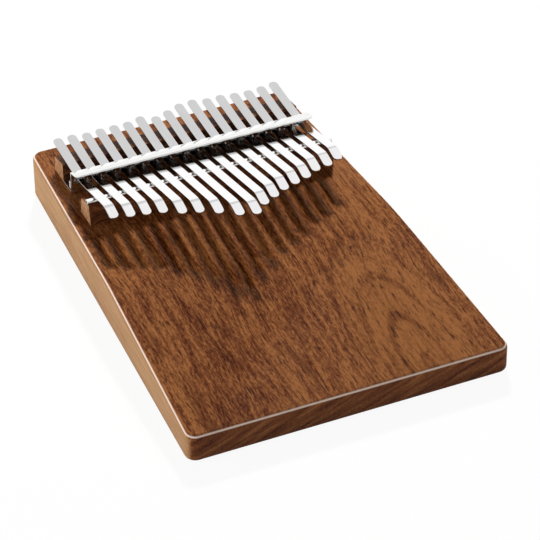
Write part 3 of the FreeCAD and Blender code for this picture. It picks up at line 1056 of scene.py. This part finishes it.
@dataclass(frozen=True)
class Softbox:
    """Square soft lamp, aimed at the middle of the instrument.

    Angles in degrees, distance and size in metres, power in watts. A lamp that isn't mirrored
    lights the instrument but doesn't show in its gloss.
    """

    name: str
    azimuth: float
    elevation: float
    distance: float
    size: float
    power: float
    mirrored: bool = True


@dataclass
class Studio:
    """Pale floor, white world, soft lamps and the camera."""

    aim: Vector = field(default_factory=lambda: Vector((-0.3 * MM, -21.8 * MM, 20 * MM)))
    azimuth: float = -23.76
    elevation: float = 36.12
    roll: float = -0.65
    distance: float = 1.215
    lens: float = 194.2
    sensor: float = 36.0
    floor_size: float = 12.0
    floor_colour: Colour = (0.90, 0.90, 0.90)
    ambient: float = 0.14
    floor_glow: float = 0.93
    boxes: tuple[Softbox, ...] = (
        Softbox("key_box", 156, 38, 1.6, 0.14, 31.0, mirrored=False),
        Softbox("left_box", -98, 12, 1.3, 0.8, 11.5, mirrored=False),
        Softbox("front_box", -20, 14, 1.6, 0.9, 4.0, mirrored=False),
        Softbox("horizon_box", 162, 13, 1.6, 1.2, 2.2),
        Softbox("top_box", 120, 66, 1.5, 1.2, 1.6),
    )

    @staticmethod
    def bearing(azimuth: float, elevation: float) -> Vector:
        """Point from the instrument towards a place on the sphere round it.

        Args:
            azimuth: Degrees round from the front, towards +X.
            elevation: Degrees above the floor.

        Returns:
            The direction, of length 1.
        """
        a, e = math.radians(azimuth), math.radians(elevation)
        return Vector((math.sin(a) * math.cos(e), -math.cos(a) * math.cos(e), math.sin(e)))

    def build(self) -> None:
        """Make the floor, the world, the lamps and the camera."""
        self._floor()
        self._world()
        for box in self.boxes:
            self._lamp(box)
        self._camera()
        bpy.context.scene.view_settings.view_transform = "Standard"

    def _floor(self) -> None:
        """Pale floor that shows plain white to the camera and keeps a soft shadow."""
        bpy.ops.object.select_all(action="DESELECT")
        bpy.ops.mesh.primitive_plane_add(size=self.floor_size, location=(0, 0, 0))
        floor = bpy.context.active_object
        floor.name = "studio_floor"
        sh = Shader("studio_floor")
        matte = sh.node("ShaderNodeBsdfDiffuse", inputs={"Color": self.floor_colour})
        glow = sh.node("ShaderNodeEmission", inputs={"Color": WHITE, "Strength": 1.0})
        path = sh.node("ShaderNodeLightPath")
        seen = sh.maths("MAXIMUM", Term(sh, path.outputs["Is Camera Ray"]),
                        Term(sh, path.outputs["Is Glossy Ray"]))
        mixed = sh.node("ShaderNodeMixShader", inputs={0: seen * self.floor_glow})
        sh.tree.links.new(matte.outputs[0], mixed.inputs[1])
        sh.tree.links.new(glow.outputs[0], mixed.inputs[2])
        sh.tree.links.new(mixed.outputs[0], sh.output.inputs[0])
        dress(floor, sh.material)

    def _world(self) -> None:
        """White world, plain white where it is seen or mirrored and dimmer as a lamp."""
        world = bpy.data.worlds.new("studio_world")
        world.use_nodes = True
        bpy.context.scene.world = world
        tree = world.node_tree
        background = tree.nodes["Background"]
        background.inputs["Color"].default_value = (*WHITE, 1.0)
        path = tree.nodes.new("ShaderNodeLightPath")
        seen = tree.nodes.new("ShaderNodeMath")
        seen.operation = "MAXIMUM"
        tree.links.new(path.outputs["Is Camera Ray"], seen.inputs[0])
        tree.links.new(path.outputs["Is Glossy Ray"], seen.inputs[1])
        strength = tree.nodes.new("ShaderNodeMapRange")
        strength.inputs["To Min"].default_value = self.ambient
        strength.inputs["To Max"].default_value = 1.0
        tree.links.new(seen.outputs[0], strength.inputs["Value"])
        tree.links.new(strength.outputs[0], background.inputs["Strength"])

    def _lamp(self, box: Softbox) -> None:
        """Hang one softbox.

        Args:
            box: What it is and where it hangs.
        """
        data = bpy.data.lights.new(box.name, "AREA")
        data.shape = "SQUARE"
        data.size = box.size
        data.energy = box.power
        lamp = bpy.data.objects.new(box.name, data)
        bpy.context.scene.collection.objects.link(lamp)
        bearing = self.bearing(box.azimuth, box.elevation)
        lamp.location = self.aim + bearing * box.distance
        lamp.rotation_mode = "QUATERNION"
        lamp.rotation_quaternion = bearing.to_track_quat("Z", "Y")
        lamp.visible_glossy = box.mirrored

    def _camera(self) -> None:
        """Stand the camera at its viewing angle."""
        data = bpy.data.cameras.new("camera")
        data.lens = self.lens
        data.sensor_width = self.sensor
        camera = bpy.data.objects.new("camera", data)
        bpy.context.scene.collection.objects.link(camera)
        bearing = self.bearing(self.azimuth, self.elevation)
        camera.location = self.aim + bearing * self.distance
        camera.rotation_mode = "QUATERNION"
        turn = Quaternion((0.0, 0.0, 1.0), math.radians(self.roll))
        camera.rotation_quaternion = bearing.to_track_quat("Z", "Y") @ turn
        bpy.context.scene.camera = camera


# ---------------------------------------------------------------- making


def main() -> None:
    """Dress the frame, piece by piece."""
    logging.basicConfig(level=logging.INFO, format="%(name)s: %(message)s")
    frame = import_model()
    Studio().build()

    wood = BridgeWood().material()
    screw_steel = BrushedSteel("screw_steel", roughness=0.3).material()
    finishes = {"rear_bridge": wood, "front_bridge": wood, "bracket_screws": screw_steel}
    for node, finish in finishes.items():
        dress(frame["nodes"][node], finish)
        LOG.info("finished %s", node)

    hinges = [joint for joint in frame["joints"] if joint["type"] == "hinge"]
    tines = [Tine(number, Vector(joint["pos_m"]))
             for number, joint in enumerate(hinges, start=1)]
    steel = BrushedSteel().material()
    # Near-black metal inside the saddle's bores: painted shade in the recess.
    painted_bore_shade = Plating("saddle_bore", colour=(0.050, 0.045, 0.040), dull=(0.020, 0.018, 0.016),
                     roughness=0.45).material()
    made = [Board().build(Walnut().material()),
            PressureBracket().build(tines, Plating("bracket_plating").material()),
            Saddle().build(Plating("saddle_plating").material(), painted_bore_shade)]
    made += [tine.build(steel) for tine in tines]
    for piece in made:
        LOG.info("made %s with %d faces", piece.name, len(piece.data.polygons))


if __name__ == "__main__":
    main()
